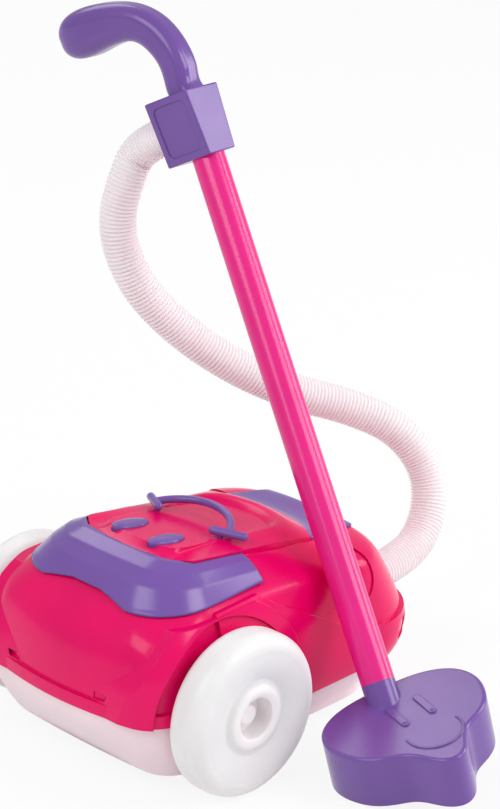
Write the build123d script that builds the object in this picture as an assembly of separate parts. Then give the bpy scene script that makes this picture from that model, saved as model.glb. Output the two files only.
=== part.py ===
from build123d import *
import math
import os
from functools import lru_cache

# A toy vacuum cleaner: a two-wheeled body with a front caster, and a leaning wand that a ribbed
# hose ties to the nose of the body. Lengths are millimetres and angles are degrees.
# While it is drawn, zero is on the floor under the rear axle, X runs to the nose, Y to the far side.

# ---------------------------------------------------------------- driving dimensions
WHEEL_RADIUS = 68.5
WHEEL_WIDTH = 36.5
TRACK_OUTER = 143.5
AXLE_RADIUS = 3.0
BUSH_HOLE = 5.5
RUNNING_GAP = 0.08
PART_GAP = 0.3

WALL = 2.2
FLOOR_HEIGHT = 15.0
REAR_SEAM = WHEEL_RADIUS
FRONT_SEAM = 40.0
NOSE_BOW = 14.0
# One row a level: height over the axle, forward slope in degrees, rear, rear bow, nose, half width,
# rear corner radius, nose corner radius. The upper levels slope down towards the nose.
BODY_ROWS = [
    (FLOOR_HEIGHT, 0.0, -57.0, 4.0, 205.0, 98.0, 28.0, 58.0),
    (40.0, 0.0, -76.0, 12.0, 236.0, 103.0, 30.0, 60.0),
    (67.0, 0.0, -86.0, 18.0, 245.0, 105.0, 30.0, 60.0),
    (90.0, 0.0, -85.0, 18.0, 237.0, 104.5, 30.0, 60.0),
    (115.0, 1.0, -80.0, 17.0, 226.0, 102.5, 34.0, 58.0),
    (133.0, 1.8, -68.0, 12.0, 217.0, 98.0, 40.0, 54.0),
    (147.0, 3.5, -49.0, 5.0, 210.0, 89.0, 47.0, 50.0),
    (157.0, 5.5, -36.0, 5.0, 203.0, 77.0, 40.0, 44.0),
    (166.0, 8.0, -24.0, 4.0, 190.0, 68.0, 31.0, 38.0),
    (172.0, 9.5, -13.0, 4.0, 165.0, 60.0, 22.0, 32.0),
    (175.0, 9.5, 4.0, 3.0, 130.0, 40.0, 16.0, 20.0),
]
BIG = 400.0

SKIRT_RISE = 3.0
LIP_RISE = 5.5
ARCH_INNER = WHEEL_RADIUS + 3.0
LIP_OUTER = 84.0
LIP_TOP = 141.0
RIB_INNER = 91.5
RIB_OUTER = 95.5
RIB_SIDE = 84.0

COVER_RISE = 4.0
COVER_REAR = -10.0
COVER_HALF = 61.0
COVER_FRONT = 158.0
COVER_BOW = 16.0
CAP_FRONT = 206.0
CAP_HALF = 60.0
CAP_RISE = 2.6

BUTTON_X = 18.0
BUTTON_Y = 21.0
BUTTON_LONG = 18.5
BUTTON_SHORT = 8.5
BUTTON_CROWN = 180.2
BUTTON_DOME = 46.0
COVER_SLOPE = 9.5
TRAY_HEIGHT = 150.0

SCREW_PLACES = [(-38, -66), (-38, 66), (140, -72), (140, 72)]
POST_RADIUS = 4.5
PILOT_RADIUS = 1.3
SHANK_RADIUS = 1.25

SMILE_X = 42.0
SMILE_HEIGHT = 170.9
SMILE_RADIUS = 49.4
SMILE_HALF_ANGLE = 61.0
SMILE_TILT = 6.0
SMILE_ROD = 3.2
CHEEK_ROD = 3.5
FOOT_INSET = 7.0
FOOT_RADIUS = 2.4
CHEEK_LENGTH = 26.0
CHEEK_DROP = 9.0

CASTER_X = 186.0
CASTER_TRAIL = 9.0
CASTER_WHEEL_RADIUS = 13.0
CASTER_POCKET = 26.5

INLET_HEIGHT = 47.0
INLET_FACE = 251.0

HOSE_RADIUS = 16.0
HOSE_ROOT = 14.7
HOSE_BORE = 12.8
HOSE_RIBS = 184

WAND_LEAN_FORE = 9.6
WAND_LEAN_SIDE = 37.1
WAND_FOOT = (110.1, -173.7)
TUBE_RADIUS = 14.0
TUBE_BORE = 12.6
TUBE_START = 11.0
TUBE_TOP = 482.0
NOZZLE_YAW = 17.2
NOZZLE_ROLL = 12.9
NOZZLE_DEPTH = 45.0
NOZZLE_WALL = 2.4
NOZZLE_SCREWS = [(10, 44), (10, -44), (55, 0)]
FACE_SHIFT = 5.0
COLLAR_BACK = 33.1
COLLAR_SIDE = 1.8
# The connector block leans against the tube: its place along the tube, its twist and two tilts.
BLOCK_CENTRE = 497.6
BLOCK_LONG = 47.0
BLOCK_DEPTH_LOW = 35.5
BLOCK_DEPTH_HIGH = 43.7
BLOCK_TALL = 56.3
BLOCK_TWIST = 3.9
BLOCK_TILT_LONG = -10.6
BLOCK_TILT_SHORT = -7.5
BLOCK_SHIFT_LONG = 3.9
BLOCK_SHIFT_SHORT = 4.5
STEM_SHIFT = -7.1

# The origin of the finished part: the middle of its footprint, hose left out.
ORIGIN_X = 80.9
ORIGIN_Y = -11.8


# ---------------------------------------------------------------- helpers
def side_prism(points, half_depth=BIG):
    """A prism along Y whose side view is the polygon of (x, z) points."""
    face = make_face(Polyline(*points, close=True))
    return extrude(Plane.XZ * face, amount=half_depth, both=True)


def plan_prism(face, low, high):
    """A prism along Z over a plan face."""
    return Pos(0, 0, low) * extrude(face, amount=high - low)


def plan_polygon(points, radius):
    """A plan polygon with all its corners rounded."""
    face = make_face(Polyline(*points, close=True))
    return fillet(face.vertices(), radius)


def cross_rod(radius, start, end, x, z):
    """A cylinder along Y."""
    return Pos(x, start, z) * Rot(-90, 0, 0) * cylinder_up(radius, end - start)


def cylinder_up(radius, height):
    """A cylinder that stands on its own origin."""
    return Cylinder(radius, height, align=(Align.CENTER, Align.CENTER, Align.MIN))


def mirrored(shape):
    """The same shape on the other side of the body."""
    return mirror(shape, about=Plane.XZ)


# ---------------------------------------------------------------- body surface
def body_outline(height, slope, rear, bow, nose, half_width, rear_corner, nose_corner):
    """One level of the body in plan: bowed rear and nose, straight sides, round corners."""
    rear_side = rear + bow
    nose_side = nose - min(NOSE_BOW, half_width / 3)
    face = make_face(
        [
            ThreePointArc((rear_side, -half_width), (rear, 0), (rear_side, half_width)),
            Line((rear_side, half_width), (nose_side, half_width)),
            ThreePointArc((nose_side, half_width), (nose, 0), (nose_side, -half_width)),
            Line((nose_side, -half_width), (rear_side, -half_width)),
        ]
    )
    face = fillet(face.vertices().sort_by(Axis.X)[:2], rear_corner)
    face = fillet(face.vertices().sort_by(Axis.X)[-2:], nose_corner)
    lean = math.radians(slope)
    forward = (math.cos(lean), 0, -math.sin(lean))
    up = (math.sin(lean), 0, math.cos(lean))
    return Plane(origin=(0, 0, height), x_dir=forward, z_dir=up) * face


def grown_row(index, grow):
    """A level moved out along the local slope of the side wall."""
    height, slope, rear, bow, nose, half_width, rear_corner, nose_corner = BODY_ROWS[index]
    below = BODY_ROWS[max(index - 1, 0)]
    above = BODY_ROWS[min(index + 1, len(BODY_ROWS) - 1)]
    rise = above[0] - below[0]
    spread = above[5] - below[5]
    length = math.hypot(rise, spread)
    out = grow * rise / length
    up = -grow * spread / length
    return (
        height + up,
        slope,
        rear - out,
        bow,
        nose + out,
        half_width + out,
        rear_corner + out,
        nose_corner + out,
    )


@lru_cache(maxsize=None)
def body_solid(grow=0.0):
    """The whole body without its bands, grown by an even thickness."""
    rows = [body_outline(*grown_row(index, grow)) for index in range(len(BODY_ROWS))]
    return loft(rows)


def above_seam():
    """The space above the line where the two shells meet."""
    return side_prism(
        [(-BIG, REAR_SEAM), (22, REAR_SEAM), (60, FRONT_SEAM), (BIG, FRONT_SEAM), (BIG, BIG), (-BIG, BIG)]
    )


def band_region():
    """Side view of the raised lower band of the upper shell."""
    rear_strip = side_prism([(-BIG, 60), (-50, 60), (-50, REAR_SEAM + 11), (-BIG, REAR_SEAM + 11)])
    front_strip = side_prism(
        [(0, 30), (0, 143), (48, 143), (62, 133), (150, 80), (190, 73), (BIG, 72), (BIG, 30)]
    )
    return rear_strip + front_strip


def arch_ring(inner, outer):
    """A full ring round the rear axle, as deep as the body is wide."""
    disc = Pos(0, 0, WHEEL_RADIUS) * Rot(90, 0, 0) * Cylinder(outer, BIG)
    hole = Pos(0, 0, WHEEL_RADIUS) * Rot(90, 0, 0) * Cylinder(inner, BIG)
    return disc - hole


def wheel_pockets():
    """The space that the wheels turn in, cut from the bands beside them."""
    depth = 40.0
    inner_face = TRACK_OUTER - WHEEL_WIDTH - 1.2
    pocket = cross_rod(ARCH_INNER, inner_face, inner_face + depth, 0, WHEEL_RADIUS)
    return pocket + mirrored(pocket)


def button_face(grow=0.0):
    """The oval outline of one button."""
    return Ellipse(BUTTON_LONG + grow, BUTTON_SHORT + grow)


def button_holes(grow, low, high):
    """Two oval wells through the top of the body."""
    holes = Pos(BUTTON_X, BUTTON_Y) * plan_prism(button_face(grow), low, high)
    return holes + Pos(BUTTON_X, -BUTTON_Y) * plan_prism(button_face(grow), low, high)


def seam_height(x):
    """The height of the seam at a screw post."""
    return REAR_SEAM if x < 0 else FRONT_SEAM


# ---------------------------------------------------------------- body pieces
def make_upper_shell(skin, inside):
    """The pink upper casing with its bands, wheel arch lips, ribs and recesses."""
    rib_window = side_prism([(-BIG, 100), (-BIG, 146), (20, 146), (20, 100)])
    rib_window -= Box(2 * BIG, 2 * RIB_SIDE, 2 * BIG)
    ribs = arch_ring(RIB_INNER, RIB_OUTER) & rib_window
    band = body_solid(SKIRT_RISE) & (band_region() + ribs)
    lip = body_solid(LIP_RISE) & arch_ring(ARCH_INNER, LIP_OUTER)
    lip &= plan_prism(Rectangle(2 * BIG, 2 * BIG), 30, LIP_TOP)
    shell = ((skin + band + lip) & above_seam()) - inside - wheel_pockets()
    shell -= side_dishes()
    shell -= rear_slots()
    shell -= chin_windows()
    shell -= button_holes(PART_GAP, TRAY_HEIGHT, BIG)
    shell -= Pos(INLET_FACE - 30, 0, INLET_HEIGHT) * Rot(0, 90, 0) * cylinder_up(20, 60)
    shell -= Pos(0, 0, WHEEL_RADIUS) * Rot(90, 0, 0) * Cylinder(BUSH_HOLE, BIG)
    within = body_solid(-WALL / 2)
    for x, y in SCREW_PLACES:
        base = seam_height(x)
        post = Pos(x, y, base) * cylinder_up(POST_RADIUS, 150)
        shell += post & within
        shell -= Pos(x, y, base) * cylinder_up(PILOT_RADIUS, 18)
    return shell


def side_dishes():
    """A round shallow recess high on each flank, near the nose."""
    radius = 25.0
    depth = 2.0
    x = 152.0
    z = 122.0
    reach = body_solid(SKIRT_RISE + 1)
    core = body_solid(-depth + 0.7)
    disc = cross_rod(radius, -BIG / 2, -60, x, z)
    dish = (reach & disc) - core
    return dish + mirrored(dish)


def rear_slots():
    """A long tapered groove low on each side of the rear face."""
    height = 84.0
    reach = body_solid(2)
    core = body_solid(-0.9)
    face = make_face(Polyline((-92, 1.6), (-92, -1.6), (-44, -3.0), (-44, 3.0), close=True))
    face = fillet(face.vertices().sort_by(Axis.X)[:2], 1.4)
    groove = Pos(0, 0, height) * extrude(Plane.YZ * face, amount=-BIG)
    groove = (reach & groove) - core
    return groove + mirrored(groove)


def chin_windows():
    """A shallow window in the chin on each side of the hose inlet."""
    reach = body_solid(SKIRT_RISE + 1)
    core = body_solid(SKIRT_RISE - 1.8)
    face = fillet(Rectangle(26, 17).vertices(), 4)
    window = Plane(origin=(206, -88, 58), x_dir=(0.66, 0.75, 0), z_dir=(0.75, -0.66, 0))
    box = window.location * Pos(0, 0, -30) * extrude(face, amount=60)
    cut = (reach & box) - core
    return cut + mirrored(cut)


def make_lower_shell(skin, inside):
    """The milky base tray with axle saddles, screw posts and the caster pocket."""
    tray = (skin - above_seam()) - inside - wheel_pockets()
    within = body_solid(-WALL / 2)
    saddle_base = FLOOR_HEIGHT + 1
    floor_slab = plan_prism(Rectangle(BIG, BIG), FLOOR_HEIGHT, FLOOR_HEIGHT + WALL)
    for side in (-60, 60):
        tray += Pos(0, side) * plan_prism(Rectangle(34, 4), saddle_base, REAR_SEAM)
    for x, y in SCREW_PLACES:
        post = Pos(x, y, FLOOR_HEIGHT) * cylinder_up(POST_RADIUS + 0.5, seam_height(x) - FLOOR_HEIGHT)
        tray += post & (within + floor_slab)
        tray -= Pos(x, y, 0) * cylinder_up(3.2, seam_height(x) - 14)
        tray -= Pos(x, y, 0) * cylinder_up(1.7, seam_height(x) + 1)
    pocket_top = 34.5
    pocket_wall = cylinder_up(CASTER_POCKET + WALL, pocket_top + 2.5 - FLOOR_HEIGHT)
    tray += Pos(CASTER_X, 0, FLOOR_HEIGHT) * pocket_wall
    tray += Pos(CASTER_X, 0, pocket_top) * cylinder_up(7.5, 17)
    tray -= Pos(CASTER_X, 0, 0) * cylinder_up(CASTER_POCKET, pocket_top)
    tray -= Pos(CASTER_X, 0, 0) * cylinder_up(3.5 + RUNNING_GAP, 60)
    tray -= Pos(INLET_FACE - 30, 0, INLET_HEIGHT) * Rot(0, 90, 0) * cylinder_up(20, 60)
    tray -= Pos(0, 0, WHEEL_RADIUS) * Rot(90, 0, 0) * Cylinder(BUSH_HOLE, BIG)
    return tray


def cover_face(grow=0.0):
    """The plan outline of the raised top cover."""
    rear = COVER_REAR - grow
    half = COVER_HALF + grow
    front = COVER_FRONT
    face = make_face(
        [
            ThreePointArc((rear + 5, -half + 17), (rear, 0), (rear + 5, half - 17)),
            Line((rear + 5, half - 17), (rear + 18, half)),
            Line((rear + 18, half), (front - COVER_BOW, half)),
            ThreePointArc((front - COVER_BOW, half), (front, 0), (front - COVER_BOW, -half)),
            Line((front - COVER_BOW, -half), (rear + 18, -half)),
            Line((rear + 18, -half), (rear + 5, -half + 17)),
        ]
    )
    return fillet(face.vertices().sort_by(Axis.X)[:4], 9)


def make_top_cover(skin):
    """The raised top panel with two button wells."""
    cover = (body_solid(COVER_RISE) & plan_prism(cover_face(), 145, 190)) - skin
    cover -= button_holes(PART_GAP, TRAY_HEIGHT, BIG)
    return cover


def make_nose_cap(skin):
    """The purple cap on the slope of the nose, in front of the ridge of the top cover."""
    face = plan_polygon(
        [
            (COVER_FRONT - COVER_BOW, -CAP_HALF),
            (CAP_FRONT, -CAP_HALF + 12),
            (CAP_FRONT, CAP_HALF - 12),
            (COVER_FRONT - COVER_BOW, CAP_HALF),
        ],
        4,
    )
    trimmed = plan_prism(face, 100, 190) - plan_prism(cover_face(0.2), 100, 190)
    return (body_solid(CAP_RISE) & trimmed) - skin


def bumper_rows():
    """The faceted outer levels of the bumper ring."""
    rises = {5: 0.5, 6: 2.0, 7: 5.5, 8: 5.0, 9: 3.0, 10: 2.0}
    return [body_outline(*grown_row(index, rise)) for index, rise in rises.items()]


def make_bumper(skin):
    """The purple ring that wraps the rear and the sides of the top, open towards the nose."""
    outer = loft(bumper_rows(), ruled=True)
    face = plan_polygon([(-BIG, -BIG), (62, -BIG), (62, BIG), (-BIG, BIG)], 1)
    low_edge = side_prism([(-BIG, 147.5), (BIG, 147.5), (BIG, BIG), (-BIG, BIG)])
    arch_half = [(60, 120), (60, 145), (36, 150), (16, 153.5)]
    arch = plan_polygon(arch_half + [(-x, z) for x, z in arch_half[::-1]], 3)
    notch = extrude(Plane.YZ * arch, amount=-BIG)
    ring = (outer & low_edge & plan_prism(face, 120, 200)) - notch
    ring -= plan_prism(cover_face(1.2), 120, 200)
    return ring - skin


def make_button(side):
    """One oval domed push button with a hidden flange that stops it under the shell."""
    y = side * BUTTON_Y
    head = Pos(BUTTON_X, y) * plan_prism(button_face(), TRAY_HEIGHT + 12, 190)
    lean = math.radians(COVER_SLOPE)
    centre = (BUTTON_X - BUTTON_DOME * math.sin(lean), y, BUTTON_CROWN - BUTTON_DOME * math.cos(lean))
    head &= Pos(*centre) * Sphere(BUTTON_DOME)
    flange = Pos(BUTTON_X, y) * plan_prism(button_face(2.0), TRAY_HEIGHT + 12, 190)
    flange &= body_solid(-WALL - PART_GAP) - plan_prism(Rectangle(BIG, BIG), 0, TRAY_HEIGHT + 14.5)
    button = head + flange
    return button


def make_button_spring(side):
    """The return spring under a button, as a plain sleeve."""
    y = side * BUTTON_Y
    spring = cylinder_up(4.0, 12.0) - cylinder_up(3.2, 12.0)
    return Pos(BUTTON_X, y, TRAY_HEIGHT) * spring


def make_button_tray():
    """The plate that carries the springs, hung from the underside of the shell on four posts."""
    plate = Pos(BUTTON_X, 0, TRAY_HEIGHT - 2) * extrude(fillet(Rectangle(64, 78).vertices(), 5), amount=2)
    under = body_solid(-WALL - 0.05)
    for x in (-20, 24):
        for y in (-34, 34):
            post = Pos(BUTTON_X + x, y, TRAY_HEIGHT) * cylinder_up(3, 30)
            plate += post & under
    return plate


def smile_point(angle, reach):
    """A point of the curved trim, in its own slightly raised plane."""
    turn = math.radians(angle)
    tilt = math.radians(SMILE_TILT)
    forward = reach * math.cos(turn)
    x = SMILE_X + forward * math.cos(tilt)
    z = SMILE_HEIGHT + forward * math.sin(tilt)
    return (x, reach * math.sin(turn), z)


def cheek_bar(inner, outer):
    """A short bar with round ends between two points."""
    length = (outer - inner).length
    bend = CHEEK_ROD * math.sqrt(0.5)
    profile = make_face(
        [
            Line((0, -CHEEK_ROD), (0, length + CHEEK_ROD)),
            ThreePointArc((0, length + CHEEK_ROD), (bend, length + bend), (CHEEK_ROD, length)),
            Line((CHEEK_ROD, length), (CHEEK_ROD, 0)),
            ThreePointArc((CHEEK_ROD, 0), (bend, -bend), (0, -CHEEK_ROD)),
        ]
    )
    bar = revolve(Plane.XZ * profile, axis=Axis.Z)
    return Plane(origin=inner, z_dir=outer - inner).location * bar


def make_smile_trim():
    """The curved purple trim on the cover: a round rod with a short cheek bar across each end."""
    ends = SMILE_HALF_ANGLE
    arc = ThreePointArc(
        smile_point(-ends, SMILE_RADIUS), smile_point(0, SMILE_RADIUS), smile_point(ends, SMILE_RADIUS)
    )
    trim = sweep(Plane(origin=arc @ 0, z_dir=arc % 0) * Circle(SMILE_ROD), path=arc)
    drop = Vector(0, 0, CHEEK_LENGTH / 2 * math.sin(math.radians(CHEEK_DROP)))
    for side in (-ends, ends):
        inner = Vector(*smile_point(side, SMILE_RADIUS - CHEEK_LENGTH / 2)) + drop
        outer = Vector(*smile_point(side, SMILE_RADIUS + CHEEK_LENGTH / 2)) - drop
        foot = Vector(*smile_point(side, SMILE_RADIUS - FOOT_INSET))
        post = Pos(foot.X, foot.Y, foot.Z - 12) * cylinder_up(FOOT_RADIUS, 12)
        trim += cheek_bar(inner, outer)
        trim += post - body_solid(COVER_RISE)
    return trim


# ---------------------------------------------------------------- wheels and axle
def wheel_profile():
    """Half section of a hollow moulded wheel: radius along X, width along Y."""
    r = WHEEL_RADIUS
    w = WHEEL_WIDTH
    bore = AXLE_RADIUS + RUNNING_GAP
    skin = make_face(
        [
            Line((bore, 0), (14, 0)),
            Line((14, 0), (17, 3)),
            Line((17, 3), (56, 3)),
            ThreePointArc((56, 3), (65.2, 5.6), (r, 13)),
            Line((r, 13), (r, 23)),
            ThreePointArc((r, 23), (64.6, 32.6), (54, w)),
            ThreePointArc((54, w), (43, w - 0.6), (32, w - 4)),
            ThreePointArc((32, w - 4), (28.5, w - 3.4), (26, w - 1.5)),
            ThreePointArc((26, w - 1.5), (22, w), (17.5, w - 1.5)),
            Line((17.5, w - 1.5), (16.5, 20)),
            Line((16.5, 20), (bore, 20)),
            Line((bore, 20), (bore, 0)),
        ]
    )
    hollow = make_face(
        [
            Line((19, 5), (56, 5)),
            ThreePointArc((56, 5), (64, 7.2), (r - 2, 13)),
            Line((r - 2, 13), (r - 2, 23)),
            ThreePointArc((r - 2, 23), (62.8, 31), (53, w - 2.2)),
            ThreePointArc((53, w - 2.2), (43, w - 2.8), (32, w - 6.2)),
            Line((32, w - 6.2), (26, w - 4)),
            Line((26, w - 4), (19.5, w - 3.6)),
            Line((19.5, w - 3.6), (19, 5)),
        ]
    )
    return skin - hollow


def make_wheel(side):
    """One rear wheel, hollow, with a deep hub recess on its outer face."""
    wheel = revolve(Plane.XZ * wheel_profile(), axis=Axis.Z)
    inner = TRACK_OUTER - WHEEL_WIDTH
    return Pos(0, side * inner, WHEEL_RADIUS) * Rot(-90 * side, 0, 0) * wheel


def make_axle():
    """The steel rod that carries both rear wheels."""
    reach = TRACK_OUTER - WHEEL_WIDTH + 24
    return cross_rod(AXLE_RADIUS, -reach, reach, 0, WHEEL_RADIUS)


def make_axle_cap(side):
    """The push-on cap that keeps a wheel on the axle."""
    start = 20.5
    cap = cylinder_up(8.5, 6.5)
    cap = fillet(cap.edges().sort_by(Axis.Z)[-1], 2.5)
    cap -= cylinder_up(AXLE_RADIUS, 24 - start)
    inner = TRACK_OUTER - WHEEL_WIDTH + start
    return Pos(0, side * inner, WHEEL_RADIUS) * Rot(-90 * side, 0, 0) * cap


def make_axle_bushes():
    """Two flanged bushes that the seam of the shells grips round the axle."""
    start = 96.0
    body = TRACK_OUTER - WHEEL_WIDTH - 1.15 - start
    bush = cylinder_up(BUSH_HOLE - 0.05, body + 1) + Pos(0, 0, body) * cylinder_up(8, 1.05)
    bush -= cylinder_up(AXLE_RADIUS, 12)
    near = Pos(0, start, WHEEL_RADIUS) * Rot(-90, 0, 0) * bush
    return Compound(children=[near, mirrored(near)])


def make_caster_fork():
    """The swivelling fork of the front caster with its stem."""
    plate = Pos(CASTER_X - 3, 0, 27.5) * extrude(fillet(Rectangle(28, 22).vertices(), 6), amount=3)
    cheek_face = make_face(Polyline((-19, 27.8), (9, 27.8), (-4, 8.5), (-14, 8.5), close=True))
    cheek_face = fillet(cheek_face.vertices().sort_by(Axis.Y)[:2], 4)
    cheek = extrude(Plane.XZ * cheek_face, amount=2.6)
    fork = plate
    for y in (-7.0, 9.6):
        fork += Pos(CASTER_X, y, 0) * cheek
    fork += Pos(CASTER_X, 0, 29) * cylinder_up(3.5, 25)
    fork -= cross_rod(2.0, -20, 20, CASTER_X - CASTER_TRAIL, CASTER_WHEEL_RADIUS)
    return fork


def make_caster_pin():
    """The pin of the small front wheel."""
    return cross_rod(2.0, -9.6, 9.6, CASTER_X - CASTER_TRAIL, CASTER_WHEEL_RADIUS)


def make_caster_wheel():
    """The small front wheel."""
    wheel = Cylinder(CASTER_WHEEL_RADIUS, 12)
    wheel = fillet(wheel.edges().filter_by(GeomType.CIRCLE), 2.5)
    wheel -= Cylinder(2.0 + RUNNING_GAP, 20)
    return Pos(CASTER_X - CASTER_TRAIL, 0, CASTER_WHEEL_RADIUS) * Rot(90, 0, 0) * wheel


def make_caster_clip():
    """The push-on ring that keeps the caster stem in its socket."""
    ring = cylinder_up(6, 1.6) - cylinder_up(3.5, 1.6)
    return Pos(CASTER_X, 0, 51.8) * ring


def make_screws():
    """Four screws that hold the two shells together."""
    screws = []
    for x, y in SCREW_PLACES:
        top = seam_height(x)
        screw = Pos(x, y, top - 17) * cylinder_up(3.0, 3)
        screw += Pos(x, y, top - 14.5) * cylinder_up(SHANK_RADIUS, 26)
        screws.append(screw)
    return Compound(children=screws)


def make_inlet_collar():
    """The round socket in the nose that the hose plugs into."""
    length = 26.0
    flange = 9.0
    collar = cylinder_up(20, length) + Pos(0, 0, length - flange) * cylinder_up(22.5, flange)
    collar -= Pos(0, 0, 2) * cylinder_up(HOSE_RADIUS + 0.2, length)
    collar -= cylinder_up(HOSE_BORE, 2)
    return Pos(INLET_FACE - length, 0, INLET_HEIGHT) * Rot(0, 90, 0) * collar - body_solid(SKIRT_RISE)


# ---------------------------------------------------------------- wand
def wand_direction():
    """Unit vector up the leaning tube."""
    fore = math.radians(WAND_LEAN_FORE)
    side = math.radians(WAND_LEAN_SIDE)
    return Vector(math.sin(fore), math.cos(fore) * math.sin(side), math.cos(fore) * math.cos(side))


def wand_plane(foot_height):
    """The frame of the tube: Z up the tube, Y to the far side of the toy."""
    along = wand_direction()
    across = Vector(0, 1, 0).cross(along).normalized()
    return Plane(origin=(*WAND_FOOT, foot_height), x_dir=across, z_dir=along)


def nozzle_plane(foot_height):
    """The frame of the nozzle: X to its front, Z out of its top."""
    yaw = math.radians(NOZZLE_YAW)
    roll = math.radians(NOZZLE_ROLL)
    front = Vector(-math.sin(yaw), -math.cos(yaw), 0)
    level = Vector(-math.cos(yaw), math.sin(yaw), 0)
    top = Vector(0, 0, math.cos(roll)) + level * math.sin(roll)
    side = top.cross(front)
    foot = Vector(*WAND_FOOT, foot_height)
    return Plane(origin=foot + front * COLLAR_BACK + side * COLLAR_SIDE, x_dir=front, z_dir=top)


# Half of the nozzle outline, back to front: distance forward, distance to the side.
NOZZLE_OUTLINE = [
    (-46.0, 0.0),
    (-45.0, 23.0),
    (-39.0, 46.0),
    (-25.0, 63.5),
    (-4.0, 69.5),
    (15.0, 65.5),
    (32.0, 55.5),
    (43.0, 40.5),
    (50.0, 28.5),
    (60.0, 21.0),
    (71.5, 14.0),
    (78.5, 6.0),
    (80.0, 0.0),
]


def nozzle_face(inset=0.0):
    """Plan of the nozzle, moved in by a wall: two wide back lobes and a fluted snout."""
    far = [(x, -y) for x, y in NOZZLE_OUTLINE[1:-1]]
    loop = NOZZLE_OUTLINE + far[::-1]
    moved = []
    for index, (x, y) in enumerate(loop):
        back = loop[index - 1]
        ahead = loop[(index + 1) % len(loop)]
        run = (ahead[0] - back[0], ahead[1] - back[1])
        length = math.hypot(*run)
        moved.append((x + inset * run[1] / length, y - inset * run[0] / length))
    return make_face(Spline(*moved, periodic=True))


def nozzle_details():
    """Two raised slots and a raised bow line on the top of the nozzle."""
    slot_length = 31.0
    slot_spread = 12.6
    bow_centre = 37.0
    bow_radius = 23.0
    details = Part()
    for side in (-1, 1):
        slot = extrude(SlotOverall(slot_length, 6.5), amount=1.4)
        details += Pos(1.2, side * slot_spread, -0.2) * slot
        details += Pos(slot_length / 2 - 2, side * slot_spread, 0.4) * Sphere(1.9)
    ring = Circle(bow_radius + 0.9) - Circle(bow_radius - 0.9)
    front_half = Pos(bow_radius, 0) * Rectangle(2 * bow_radius + 8, 4 * bow_radius)
    details += Pos(bow_centre, 0, -0.2) * extrude(ring & front_half, amount=1.1)
    return Pos(0, FACE_SHIFT) * details


def make_nozzle_shell(base, tube):
    """The purple nozzle casing with a slanted collar that the tube stands on."""
    spigot_length = 14.0
    collar_root = 15.0
    face = nozzle_face()
    block = Pos(0, 0, -NOZZLE_DEPTH) * extrude(face, amount=NOZZLE_DEPTH)
    block = fillet(block.edges().group_by(Axis.Z)[-1], 3.0)
    inner_face = nozzle_face(NOZZLE_WALL)
    hollow = Pos(0, 0, -NOZZLE_DEPTH) * extrude(inner_face, amount=NOZZLE_DEPTH - NOZZLE_WALL)
    collar = Pos(0, 0, -collar_root) * cylinder_up(TUBE_RADIUS, collar_root + TUBE_START)
    collar += cylinder_up(TUBE_BORE, TUBE_START + spigot_length)
    body = base.location * (block - hollow) + tube.location * collar
    body -= tube.location * Pos(0, 0, -2 * collar_root) * cylinder_up(9.5, 80)
    body += base.location * nozzle_details()
    for x, y in NOZZLE_SCREWS:
        post = Pos(x, y, -NOZZLE_DEPTH + 2.2) * cylinder_up(4, NOZZLE_DEPTH - 3.2)
        post -= Pos(x, y, -NOZZLE_DEPTH) * cylinder_up(PILOT_RADIUS, 20)
        body += base.location * post
    return body


def make_nozzle_sole(base):
    """The flat plate that closes the underside of the nozzle."""
    face = nozzle_face(NOZZLE_WALL + 0.1)
    sole = Pos(0, 0, -NOZZLE_DEPTH) * extrude(face, amount=2)
    for x, y in NOZZLE_SCREWS:
        sole -= Pos(x, y, -NOZZLE_DEPTH) * cylinder_up(1.7, 5)
        sole -= Pos(x, y, -NOZZLE_DEPTH) * cylinder_up(3.0, 1.2)
    return base.location * sole


def make_nozzle_screws(base):
    """Three screws of the sole plate."""
    screws = []
    for x, y in NOZZLE_SCREWS:
        screw = Pos(x, y, -NOZZLE_DEPTH + 0.1) * cylinder_up(2.8, 1.1)
        screw += Pos(x, y, -NOZZLE_DEPTH + 1) * cylinder_up(SHANK_RADIUS, 12)
        screws.append(base.location * screw)
    return Compound(children=screws)


def make_tube(tube):
    """The straight wand tube."""
    length = TUBE_TOP - TUBE_START
    pipe = cylinder_up(TUBE_RADIUS, length) - cylinder_up(TUBE_BORE, length)
    return tube.location * Pos(0, 0, TUBE_START) * pipe


def block_plane(tube):
    """The frame of the connector block: X towards the hose side, Z nearly up the tube."""
    twist = Rot(0, 0, 90 + BLOCK_TWIST)
    centre = Pos(0, 0, BLOCK_CENTRE)
    shift = Pos(BLOCK_SHIFT_LONG, BLOCK_SHIFT_SHORT, 0)
    tilt = Rot(BLOCK_TILT_LONG, 0, 0) * Rot(0, BLOCK_TILT_SHORT, 0)
    return Plane(tube.location * centre * twist * shift * tilt)


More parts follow.
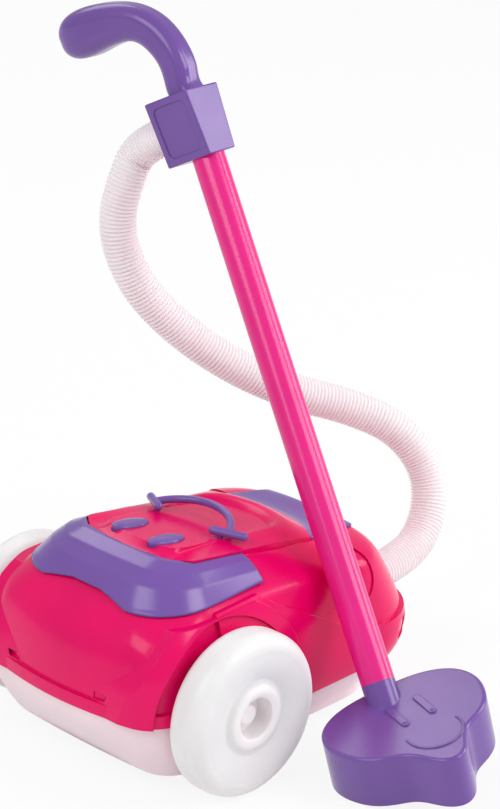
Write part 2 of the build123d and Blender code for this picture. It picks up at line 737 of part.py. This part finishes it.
def make_block(base, tube):
    """The connector block: tube socket below, hose port behind, grip socket on top."""
    half_tall = BLOCK_TALL / 2
    middle_depth = (BLOCK_DEPTH_LOW + BLOCK_DEPTH_HIGH) / 2
    low = Pos(0, 0, -half_tall) * Rectangle(BLOCK_LONG, BLOCK_DEPTH_LOW)
    high = Pos(0, 0, half_tall) * Rectangle(BLOCK_LONG, BLOCK_DEPTH_HIGH)
    body = fillet(loft([low, high]).edges(), 1.5)
    panel = fillet(Rectangle(BLOCK_LONG - 12, BLOCK_TALL - 12).vertices(), 6)
    draft = math.atan((BLOCK_DEPTH_HIGH - BLOCK_DEPTH_LOW) / 2 / BLOCK_TALL)
    for side in (-1, 1):
        outward = (0, side * math.cos(draft), -math.sin(draft))
        face = Plane(origin=(0, side * (middle_depth / 2 - 1.2), 0), x_dir=(1, 0, 0), z_dir=outward)
        body -= face.location * extrude(panel, amount=8)
    body -= fillet(Box(BLOCK_LONG - 9, middle_depth - 8, 30).edges(), 3)
    body -= Pos(BLOCK_LONG / 2 - 8, 0, 0) * Rot(0, 90, 0) * cylinder_up(HOSE_RADIUS + 0.2, 20)
    body -= Pos(STEM_SHIFT, 0, half_tall - 9) * cylinder_up(9, 20)
    socket = tube.location * Pos(0, 0, TUBE_TOP - 60) * cylinder_up(TUBE_RADIUS, 60)
    return base.location * body - socket


# The grip from its root to its rounded end: sideways place, height over the block's middle,
# turn away from the stem in degrees, thickness. Chosen by hand.
GRIP_SECTIONS = [
    (STEM_SHIFT, BLOCK_TALL / 2, 0, 26.7),
    (STEM_SHIFT, 45.0, 1, 26.7),
    (-6.5, 58.0, 8, 27.0),
    (-2.0, 72.0, 25, 27.8),
    (7.0, 86.0, 42, 28.7),
    (20.0, 96.0, 61, 30.5),
    (36.0, 101.5, 77, 34.2),
    (55.0, 104.0, 87, 38.9),
    (72.0, 104.0, 92, 40.7),
    (84.0, 103.3, 94, 37.0),
    (93.0, 102.6, 94, 27.0),
    (98.5, 102.2, 94, 11.0),
]


def grip_section(x, z, turn, thickness):
    """One level of the grip: a square with broad flats and round corners."""
    angle = math.radians(turn)
    side = (math.cos(angle), 0, -math.sin(angle))
    heading = (math.sin(angle), 0, math.cos(angle))
    outline = fillet(Rectangle(thickness, thickness).vertices(), thickness * 0.36)
    return Plane(origin=(x, 0, z), x_dir=side, z_dir=heading).location * outline


def make_grip(base):
    """The cane-shaped grip: a straight stem that bends over into a swollen, rounded end."""
    grip = loft([grip_section(*section) for section in GRIP_SECTIONS])
    grip += Pos(STEM_SHIFT, 0, BLOCK_TALL / 2 - 8) * cylinder_up(9, 12)
    return base.location * grip


def make_hose_cuff(place):
    """The ring inside a hose socket that the end of the hose is bonded to."""
    ring = cylinder_up(HOSE_RADIUS + 0.2, 7.5) - cylinder_up(HOSE_BORE, 7.5)
    return place.location * Pos(0, 0, -7.5) * ring


# ---------------------------------------------------------------- hose
# The route of the hose from the connector block to the nose, chosen by hand.
HOSE_ROUTE = [
    (164.0, 180.0, 396.0),
    (155.0, 186.0, 352.0),
    (167.0, 174.0, 300.0),
    (199.0, 149.0, 254.0),
    (238.0, 121.0, 218.0),
    (282.0, 97.0, 190.0),
    (326.0, 72.0, 172.0),
    (362.0, 42.0, 148.0),
    (377.0, 18.0, 106.0),
    (354.0, 4.0, 62.0),
    (310.0, 0.0, INLET_HEIGHT),
]


def hose_points(port):
    """All points of the route, with both ends square to their sockets."""
    start = port.origin
    lead = start + port.z_dir * 34
    return [start, lead] + [Vector(*p) for p in HOSE_ROUTE] + [Vector(INLET_FACE, 0, INLET_HEIGHT)]


def hose_path(points):
    """Straight runs joined by arcs as large as the runs allow."""
    radii = []
    for before, here, after in zip(points, points[1:], points[2:]):
        into = here - before
        out = after - here
        turn = math.radians(into.get_angle(out))
        radii.append(0.45 * min(into.length, out.length) / math.tan(turn / 2))
    print("hose arc radii", [round(r, 1) for r in radii])
    return FilletPolyline(*points, radius=radii)


def make_hose(port):
    """The ribbed hose, bored through, with a straight plain end at each socket."""
    path = hose_path(hose_points(port))
    plain = 2.0
    pitch = (path.length - 2 * plain) / HOSE_RIBS
    stations = [(0.0, HOSE_ROOT)]
    for rib in range(HOSE_RIBS):
        start = plain + rib * pitch
        stations += [
            (start, HOSE_ROOT),
            (start + 0.3 * pitch, HOSE_RADIUS),
            (start + 0.6 * pitch, HOSE_RADIUS),
            (start + 0.9 * pitch, HOSE_ROOT),
        ]
    stations.append((path.length, HOSE_ROOT))
    rings = []
    for distance, radius in stations:
        share = min(distance / path.length, 1.0)
        heading = path.tangent_at(share)
        steady = Vector(0, 1, 0) - heading * heading.Y
        rings.append(Plane(origin=path.position_at(share), x_dir=steady, z_dir=heading) * Circle(radius))
    ribbed = loft(rings, ruled=True)
    first = path.tangent_at(0)
    bore = sweep(Plane(origin=path.position_at(0), z_dir=first) * Circle(HOSE_BORE), path=path)
    print("hose length", round(path.length, 1), "pitch", round(pitch, 2))
    print("hose bore volume", round(bore.volume), "of", round(math.pi * HOSE_BORE**2 * path.length))
    return ribbed - bore


# ---------------------------------------------------------------- assembly
def wand_pieces():
    """All rigid pieces of the wand, set down so that the nozzle just touches the floor."""
    tube = wand_plane(0)
    base = nozzle_plane(0)
    drop = -make_nozzle_shell(base, tube).bounding_box().min.Z
    tube = wand_plane(drop)
    base = nozzle_plane(drop)
    block = block_plane(tube)
    port = Plane(block.location * Pos(BLOCK_LONG / 2, 0, 0) * Rot(0, 90, 0))
    print("wand foot height", round(drop, 2), "hose port", port.origin, port.z_dir)
    pieces = {
        "nozzle_shell": make_nozzle_shell(base, tube),
        "nozzle_sole": make_nozzle_sole(base),
        "nozzle_screws": make_nozzle_screws(base),
        "wand_tube": make_tube(tube),
        "connector_block": make_block(block, tube),
        "handle_grip": make_grip(block),
        "hose_cuff_wand": make_hose_cuff(port),
        "hose": make_hose(port),
    }
    return pieces


def body_pieces():
    """All pieces of the wheeled body."""
    skin = body_solid()
    floor_cut = plan_prism(Rectangle(2 * BIG, 2 * BIG), 0, FLOOR_HEIGHT + WALL)
    inside = body_solid(-WALL) - floor_cut
    inlet = Plane(origin=(INLET_FACE, 0, INLET_HEIGHT), x_dir=(0, 1, 0), z_dir=(1, 0, 0))
    return {
        "upper_shell": make_upper_shell(skin, inside),
        "lower_shell": make_lower_shell(skin, inside),
        "top_cover": make_top_cover(skin),
        "nose_cap": make_nose_cap(skin),
        "bumper_trim": make_bumper(skin),
        "button_left": make_button(1),
        "button_right": make_button(-1),
        "button_spring_left": make_button_spring(1),
        "button_spring_right": make_button_spring(-1),
        "button_tray": make_button_tray(),
        "smile_trim": make_smile_trim(),
        "rear_wheel_left": make_wheel(1),
        "rear_wheel_right": make_wheel(-1),
        "rear_axle": make_axle(),
        "axle_cap_left": make_axle_cap(1),
        "axle_cap_right": make_axle_cap(-1),
        "axle_bushes": make_axle_bushes(),
        "caster_fork": make_caster_fork(),
        "caster_pin": make_caster_pin(),
        "caster_wheel": make_caster_wheel(),
        "caster_clip": make_caster_clip(),
        "shell_screws": make_screws(),
        "hose_inlet_collar": make_inlet_collar(),
        "hose_cuff_body": make_hose_cuff(inlet),
    }


def main():
    os.makedirs("parts", exist_ok=True)
    pieces = body_pieces() | wand_pieces()
    place = Pos(-ORIGIN_X, -ORIGIN_Y, 0)
    solid_boxes = [shape.bounding_box() for name, shape in pieces.items() if name != "hose"]
    low_x, high_x = min(box.min.X for box in solid_boxes), max(box.max.X for box in solid_boxes)
    low_y, high_y = min(box.min.Y for box in solid_boxes), max(box.max.Y for box in solid_boxes)
    print("footprint middle", round((low_x + high_x) / 2, 2), round((low_y + high_y) / 2, 2))
    for name, shape in pieces.items():
        export_step(place * shape, f"parts/{name}.step")
        print(name, round(shape.volume), shape.bounding_box())


main()
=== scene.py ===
import math

import bpy
from mathutils import Matrix, Vector


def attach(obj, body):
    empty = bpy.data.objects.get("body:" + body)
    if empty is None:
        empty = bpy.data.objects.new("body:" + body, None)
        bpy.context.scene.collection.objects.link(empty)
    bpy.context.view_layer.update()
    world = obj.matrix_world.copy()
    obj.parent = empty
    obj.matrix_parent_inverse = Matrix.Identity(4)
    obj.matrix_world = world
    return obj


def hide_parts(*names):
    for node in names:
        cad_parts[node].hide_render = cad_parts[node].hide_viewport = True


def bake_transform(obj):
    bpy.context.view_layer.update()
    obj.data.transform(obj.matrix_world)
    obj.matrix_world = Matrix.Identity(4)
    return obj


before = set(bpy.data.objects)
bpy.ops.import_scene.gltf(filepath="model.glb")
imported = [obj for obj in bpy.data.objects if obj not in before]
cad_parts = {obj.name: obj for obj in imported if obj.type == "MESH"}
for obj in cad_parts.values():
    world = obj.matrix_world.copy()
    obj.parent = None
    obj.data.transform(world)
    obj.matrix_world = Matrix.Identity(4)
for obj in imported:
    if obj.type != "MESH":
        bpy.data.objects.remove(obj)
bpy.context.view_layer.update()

# ---------------------------------------------------------------- camera
# The photograph's view: a long lens, slightly above the toy, from behind its near side.
IMAGE_WIDTH_PX = 500
FOCAL_PX = 3200.0
SENSOR_MM = 36.0
CLIP_END = 60
CAMERA_PLACE = (-1.634178, -1.696595, 1.272333)
CAMERA_RIGHT = (0.711719, -0.702465, 0.0)
CAMERA_UP = (0.274630, 0.278248, 0.920411)
CAMERA_AHEAD = (0.646556, 0.655074, -0.390952)


def add_camera():
    """The camera at the photograph's viewing angle."""
    data = bpy.data.cameras.new("photo_camera")
    data.sensor_fit = "HORIZONTAL"
    data.sensor_width = SENSOR_MM
    data.lens = FOCAL_PX / IMAGE_WIDTH_PX * SENSOR_MM
    data.clip_end = CLIP_END
    camera = bpy.data.objects.new("photo_camera", data)
    bpy.context.scene.collection.objects.link(camera)
    back = -Vector(CAMERA_AHEAD)
    turn = Matrix((CAMERA_RIGHT, CAMERA_UP, back)).transposed().to_4x4()
    camera.matrix_world = Matrix.Translation(CAMERA_PLACE) @ turn
    bpy.context.scene.camera = camera


add_camera()


# ---------------------------------------------------------------- materials
def linear(red, green, blue):
    """An 8-bit colour as linear light."""
    values = []
    for channel in (red, green, blue):
        share = channel / 255
        values.append(share / 12.92 if share <= 0.04045 else ((share + 0.055) / 1.055) ** 2.4)
    return (*values, 1.0)


def scaled(color, factor):
    """The same hue, lighter or darker."""
    return (*(min(channel * factor, 1.0) for channel in color[:3]), 1.0)


# Sizes of the cloudy colour, the gloss marks and the fine grain, as noise scales.
CLOUD_SCALE = 14.0
SMEAR_SCALE = 45.0
GRAIN_SCALE = 420.0
GRAIN_DEPTH = 0.0001
TINT_RANGE = (0.94, 1.05)
GLOSS_RANGE = (0.8, 1.25)
PLASTIC_IOR = 1.49
EDGE_SAMPLES = 6
SCATTER_RADIUS = (1.0, 0.72, 0.76)


def object_noise(material, scale, detail):
    """A noise pattern fixed to the object, as its 0 to 1 output."""
    nodes = material.node_tree.nodes
    place = nodes.new("ShaderNodeTexCoord")
    noise = nodes.new("ShaderNodeTexNoise")
    noise.inputs["Scale"].default_value = scale
    noise.inputs["Detail"].default_value = detail
    material.node_tree.links.new(place.outputs["Object"], noise.inputs["Vector"])
    return noise.outputs["Fac"]


def plastic(name, color, roughness=0.22, shine=0.3, scatter=0.0, scatter_depth=0.004, edge=0.0008, grain=0.12):
    """Moulded plastic: cloudy colour, faint flow marks, a fine grain and softened edges."""
    material = bpy.data.materials.new(name)
    material.use_nodes = True
    nodes = material.node_tree.nodes
    links = material.node_tree.links
    shader = nodes["Principled BSDF"]

    tint = nodes.new("ShaderNodeValToRGB")
    for stop, position, factor in zip(tint.color_ramp.elements, (0.3, 0.7), TINT_RANGE):
        stop.position = position
        stop.color = scaled(color, factor)
    links.new(object_noise(material, CLOUD_SCALE, 3.0), tint.inputs["Fac"])
    links.new(tint.outputs["Color"], shader.inputs["Base Color"])

    gloss = nodes.new("ShaderNodeMapRange")
    gloss.inputs["To Min"].default_value = roughness * GLOSS_RANGE[0]
    gloss.inputs["To Max"].default_value = roughness * GLOSS_RANGE[1]
    links.new(object_noise(material, SMEAR_SCALE, 4.0), gloss.inputs["Value"])
    links.new(gloss.outputs["Result"], shader.inputs["Roughness"])

    bump = nodes.new("ShaderNodeBump")
    bump.inputs["Strength"].default_value = grain
    bump.inputs["Distance"].default_value = GRAIN_DEPTH
    links.new(object_noise(material, GRAIN_SCALE, 2.0), bump.inputs["Height"])
    if edge > 0:
        soft = nodes.new("ShaderNodeBevel")
        soft.samples = EDGE_SAMPLES
        soft.inputs["Radius"].default_value = edge
        links.new(soft.outputs["Normal"], bump.inputs["Normal"])
    links.new(bump.outputs["Normal"], shader.inputs["Normal"])

    shader.inputs["IOR"].default_value = PLASTIC_IOR
    shader.inputs["Specular IOR Level"].default_value = shine
    if scatter > 0:
        shader.inputs["Subsurface Weight"].default_value = scatter
        shader.inputs["Subsurface Radius"].default_value = SCATTER_RADIUS
        shader.inputs["Subsurface Scale"].default_value = scatter_depth
    return material


def metal(name, color, roughness):
    """Drawn steel with fine scratches."""
    material = plastic(name, color, roughness, shine=0.5, edge=0.0, grain=0.3)
    material.node_tree.nodes["Principled BSDF"].inputs["Metallic"].default_value = 1.0
    return material


PINK = linear(230, 0, 98)
TUBE_PINK = linear(230, 30, 132)
PURPLE = linear(116, 82, 164)
WAND_PURPLE = linear(112, 76, 156)
MILK = linear(250, 240, 242)
BASE_MILK = linear(246, 222, 229)
HOSE_MILK = linear(247, 235, 238)
STEEL = linear(190, 190, 194)

LOOKS = {
    "pink": plastic("pink_moulding", PINK, roughness=0.18, shine=0.24),
    "tube": plastic("pink_tube", TUBE_PINK, roughness=0.2, shine=0.45, edge=0.0),
    "purple": plastic("purple_moulding", PURPLE, roughness=0.2, shine=0.5, edge=0.003),
    "wand": plastic("wand_purple", WAND_PURPLE, roughness=0.2, shine=0.5, edge=0.0012),
    "milk": plastic("milky_wheel", MILK, roughness=0.3, shine=0.35, scatter=0.5, scatter_depth=0.008),
    "base": plastic("milky_base", BASE_MILK, roughness=0.32, shine=0.35, scatter=0.3),
    "hose": plastic("milky_hose", HOSE_MILK, roughness=0.38, shine=0.3, scatter=0.5, edge=0.0),
    "steel": metal("drawn_steel", STEEL, 0.3),
}

NODE_LOOKS = {
    "pink": ["upper_shell", "top_cover"],
    "tube": ["wand_tube"],
    "purple": ["nose_cap", "bumper_trim", "smile_trim", "button_left", "button_right"],
    "wand": ["nozzle_shell", "nozzle_sole", "connector_block", "handle_grip"],
    "milk": ["rear_wheel_left", "rear_wheel_right", "axle_cap_left", "axle_cap_right", "caster_wheel"],
    "base": ["lower_shell", "button_tray", "axle_bushes", "caster_fork", "hose_inlet_collar"],
    "hose": ["hose_cuff_body", "hose_cuff_wand"],
    "steel": [
        "rear_axle",
        "caster_pin",
        "caster_clip",
        "shell_screws",
        "nozzle_screws",
        "button_spring_left",
        "button_spring_right",
    ],
}


def dress_nodes():
    """Each carried solid gets its own material."""
    for look, names in NODE_LOOKS.items():
        for name in names:
            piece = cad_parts[name]
            if not piece.material_slots:
                piece.data.materials.append(LOOKS[look])
            for slot in piece.material_slots:
                slot.material = LOOKS[look]


dress_nodes()


# ---------------------------------------------------------------- hose
HOSE_RADIUS = 0.016
HOSE_ROOT = 0.0147
HOSE_BORE = 0.0128
HOSE_RIBS = 184
HOSE_SIDES = 48
HOSE_PLAIN_END = 0.002
# One rib: share of the pitch, share of the rib's height.
RIB_PROFILE = [(0.0, 0.0), (0.12, 0.35), (0.27, 0.9), (0.42, 1.0), (0.57, 0.9), (0.72, 0.35), (0.84, 0.0)]
# The route from the connector block to the nose, the same as in the solids.
HOSE_ROUTE = [
    (0.102629, 0.157384, 0.438513),
    (0.096174, 0.186970, 0.423053),
    (0.0831, 0.1918, 0.396),
    (0.0741, 0.1978, 0.352),
    (0.0861, 0.1858, 0.300),
    (0.1181, 0.1608, 0.254),
    (0.1571, 0.1328, 0.218),
    (0.2011, 0.1088, 0.190),
    (0.2451, 0.0838, 0.172),
    (0.2811, 0.0538, 0.148),
    (0.2961, 0.0298, 0.106),
    (0.2731, 0.0158, 0.062),
    (0.2291, 0.0118, 0.047),
    (0.1701, 0.0118, 0.047),
]


def spline_points(route, name):
    """Points read from the smooth spline that has the route as its control points."""
    curve = bpy.data.curves.new(name, "CURVE")
    curve.dimensions = "3D"
    curve.resolution_u = 48
    spline = curve.splines.new("NURBS")
    spline.points.add(len(route) - 1)
    for point, place in zip(spline.points, route):
        point.co = (*place, 1.0)
    spline.order_u = 3
    spline.use_endpoint_u = True
    holder = bpy.data.objects.new(name, curve)
    bpy.context.scene.collection.objects.link(holder)
    bpy.context.view_layer.update()
    line = bpy.data.meshes.new_from_object(holder)
    points = [vertex.co.copy() for vertex in line.vertices]
    bpy.data.objects.remove(holder)
    bpy.data.curves.remove(curve)
    bpy.data.meshes.remove(line)
    return points


def station_table(points):
    """Running length along a line of points."""
    distances = [0.0]
    for here, ahead in zip(points, points[1:]):
        distances.append(distances[-1] + (ahead - here).length)
    return distances


def place_on(points, distances, wanted, hint):
    """The point and heading at a distance along the line, and where the search stopped."""
    index = hint
    while index < len(points) - 2 and distances[index + 1] < wanted:
        index += 1
    run = distances[index + 1] - distances[index]
    share = (wanted - distances[index]) / run
    place = points[index].lerp(points[index + 1], min(max(share, 0.0), 1.0))
    back = points[max(index - 1, 0)]
    ahead = points[min(index + 2, len(points) - 1)]
    return place, (ahead - back).normalized(), index


def hose_stations(length):
    """Distance and outer radius of each ring: rounded ribs between short plain ends."""
    pitch = (length - 2 * HOSE_PLAIN_END) / HOSE_RIBS
    rib_height = HOSE_RADIUS - HOSE_ROOT
    stations = [(0.0, HOSE_ROOT)]
    for rib in range(HOSE_RIBS):
        for share, rise in RIB_PROFILE:
            stations.append((HOSE_PLAIN_END + (rib + share) * pitch, HOSE_ROOT + rise * rib_height))
    stations.append((length, HOSE_ROOT))
    return stations


def hose_rings(points, distances, stations):
    """Round rings of vertices along the line, one for each station."""
    rings = []
    hint = 0
    side = Vector((1, 0, 0))
    for distance, radius in stations:
        centre, heading, hint = place_on(points, distances, distance, hint)
        side = (side - heading * side.dot(heading)).normalized()
        across = heading.cross(side)
        ring = []
        for step in range(HOSE_SIDES):
            angle = 2 * math.pi * step / HOSE_SIDES
            out = side * math.cos(angle) + across * math.sin(angle)
            ring.append(centre + out * radius)
        rings.append(ring)
    return rings


def loop_faces(first, second, sides):
    """Four-sided faces between two rings, given by their first vertices."""
    faces = []
    for step in range(sides):
        turn = (step + 1) % sides
        faces.append((first + step, first + turn, second + turn, second + step))
    return faces


def add_piece(name, vertices, faces, material):
    """A smooth-shaded mesh object in the scene."""
    mesh = bpy.data.meshes.new(name)
    mesh.from_pydata(vertices, [], faces)
    mesh.validate()
    mesh.polygons.foreach_set("use_smooth", [True] * len(mesh.polygons))
    mesh.materials.append(material)
    piece = bpy.data.objects.new(name, mesh)
    bpy.context.scene.collection.objects.link(piece)
    return piece


def make_hose():
    """The ribbed hose as one closed skin: outside, bore and both ends."""
    points = spline_points(HOSE_ROUTE, "hose_route")
    distances = station_table(points)
    outer = hose_stations(distances[-1])
    inner = [(distance, HOSE_BORE) for distance, radius in outer[:: len(outer) // HOSE_RIBS]]
    inner[-1] = (distances[-1], HOSE_BORE)
    rings = hose_rings(points, distances, outer)
    rings += hose_rings(points, distances, inner)[::-1]
    vertices = [vertex for ring in rings for vertex in ring]
    faces = []
    for index in range(len(rings)):
        ahead = (index + 1) % len(rings)
        faces += loop_faces(index * HOSE_SIDES, ahead * HOSE_SIDES, HOSE_SIDES)
    hose = add_piece("ribbed_hose", vertices, faces, LOOKS["hose"])
    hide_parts("hose")
    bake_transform(hose)


make_hose()


# ---------------------------------------------------------------- buttons
BUTTON_X = -0.0629
BUTTON_LONG = 0.0185
BUTTON_SHORT = 0.0085
COVER_TOP = 0.17595
COVER_SLOPE = math.tan(math.radians(9.5))
BUTTON_SIDES = 72
BUTTON_LEFT_Y = 0.0328
BUTTON_RIGHT_Y = -0.0092
# From the hidden root of a button to its crown: share of the oval, height over the cover.
BUTTON_PROFILE = [
    (0.94, -0.0078),
    (1.0, -0.0070),
    (1.0, 0.0009),
    (0.985, 0.0014),
    (0.95, 0.0018),
    (0.88, 0.0022),
    (0.76, 0.0026),
    (0.58, 0.0029),
    (0.38, 0.0031),
    (0.18, 0.0032),
]


def make_button(node, body, y):
    """A gently crowned oval button that stands square to the sloping cover."""
    vertices = []
    for share, height in BUTTON_PROFILE:
        for step in range(BUTTON_SIDES):
            angle = 2 * math.pi * step / BUTTON_SIDES
            x = BUTTON_LONG * share * math.cos(angle)
            z = COVER_TOP + height - x * COVER_SLOPE
            vertices.append((BUTTON_X + x, y + BUTTON_SHORT * share * math.sin(angle), z))
    last = (len(BUTTON_PROFILE) - 1) * BUTTON_SIDES
    faces = [tuple(range(BUTTON_SIDES))[::-1], tuple(range(last, last + BUTTON_SIDES))]
    for low in range(0, last, BUTTON_SIDES):
        faces += loop_faces(low, low + BUTTON_SIDES, BUTTON_SIDES)
    pad = add_piece(f"{node}_pad", vertices, faces, LOOKS["purple"])
    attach(pad, body)
    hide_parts(node)


make_button("button_left", "left_button", BUTTON_LEFT_Y)
make_button("button_right", "right_button", BUTTON_RIGHT_Y)


# ---------------------------------------------------------------- light and floor
FLOOR_HALF = 12.0
FLOOR_GREY = 0.9
WHITE_SHARE = 0.88
WORLD_STRENGTH = 0.55
TOY_MIDDLE = (0.0, 0.0, 0.15)
# Name, place, point it faces, width, height, power.
LAMPS = [
    ("key", (1.0, -2.1, 1.9), TOY_MIDDLE, 1.3, 1.4, 29),
    ("strip", (1.95, -0.95, 1.0), (0.0, 0.0, 0.4), 0.8, 1.4, 16),
    ("fill", (-1.9, 0.1, 2.0), TOY_MIDDLE, 1.6, 1.2, 22),
    ("rear", (0.6, 1.9, 1.9), TOY_MIDDLE, 1.6, 0.8, 10),
]


def add_floor():
    """A pale floor that keeps the shadow and is nearly white to the camera."""
    corners = [(x * FLOOR_HALF, y * FLOOR_HALF, 0) for x, y in ((-1, -1), (1, -1), (1, 1), (-1, 1))]
    mesh = bpy.data.meshes.new("floor")
    mesh.from_pydata(corners, [], [(0, 1, 2, 3)])
    floor = bpy.data.objects.new("floor", mesh)
    bpy.context.scene.collection.objects.link(floor)
    material = bpy.data.materials.new("pale_floor")
    material.use_nodes = True
    nodes = material.node_tree.nodes
    links = material.node_tree.links
    nodes.remove(nodes["Principled BSDF"])
    surface = nodes.new("ShaderNodeBsdfDiffuse")
    surface.inputs["Color"].default_value = (FLOOR_GREY, FLOOR_GREY, FLOOR_GREY, 1)
    white = nodes.new("ShaderNodeEmission")
    white.inputs["Strength"].default_value = 1.0
    ray = nodes.new("ShaderNodeLightPath")
    seen = nodes.new("ShaderNodeMath")
    seen.operation = "MAXIMUM"
    links.new(ray.outputs["Is Camera Ray"], seen.inputs[0])
    links.new(ray.outputs["Is Glossy Ray"], seen.inputs[1])
    share = nodes.new("ShaderNodeMath")
    share.operation = "MULTIPLY"
    share.inputs[1].default_value = WHITE_SHARE
    links.new(seen.outputs["Value"], share.inputs[0])
    mix = nodes.new("ShaderNodeMixShader")
    links.new(share.outputs["Value"], mix.inputs["Fac"])
    links.new(surface.outputs["BSDF"], mix.inputs[1])
    links.new(white.outputs["Emission"], mix.inputs[2])
    links.new(mix.outputs["Shader"], nodes["Material Output"].inputs["Surface"])
    mesh.materials.append(material)


def add_softbox(name, place, target, width, height, power):
    """A large soft lamp that faces a point on the toy."""
    data = bpy.data.lights.new(name, "AREA")
    data.shape = "RECTANGLE"
    data.size = width
    data.size_y = height
    data.energy = power
    lamp = bpy.data.objects.new(name, data)
    bpy.context.scene.collection.objects.link(lamp)
    lamp.location = place
    lamp.rotation_euler = (Vector(target) - Vector(place)).to_track_quat("-Z", "Y").to_euler()


def add_world():
    """An even pale surround."""
    world = bpy.data.worlds.new("studio")
    bpy.context.scene.world = world
    world.use_nodes = True
    backdrop = world.node_tree.nodes["Background"]
    backdrop.inputs["Color"].default_value = (1, 1, 1, 1)
    backdrop.inputs["Strength"].default_value = WORLD_STRENGTH


add_floor()
add_world()
for lamp_settings in LAMPS:
    add_softbox(*lamp_settings)
bpy.context.scene.view_settings.view_transform = "Standard"
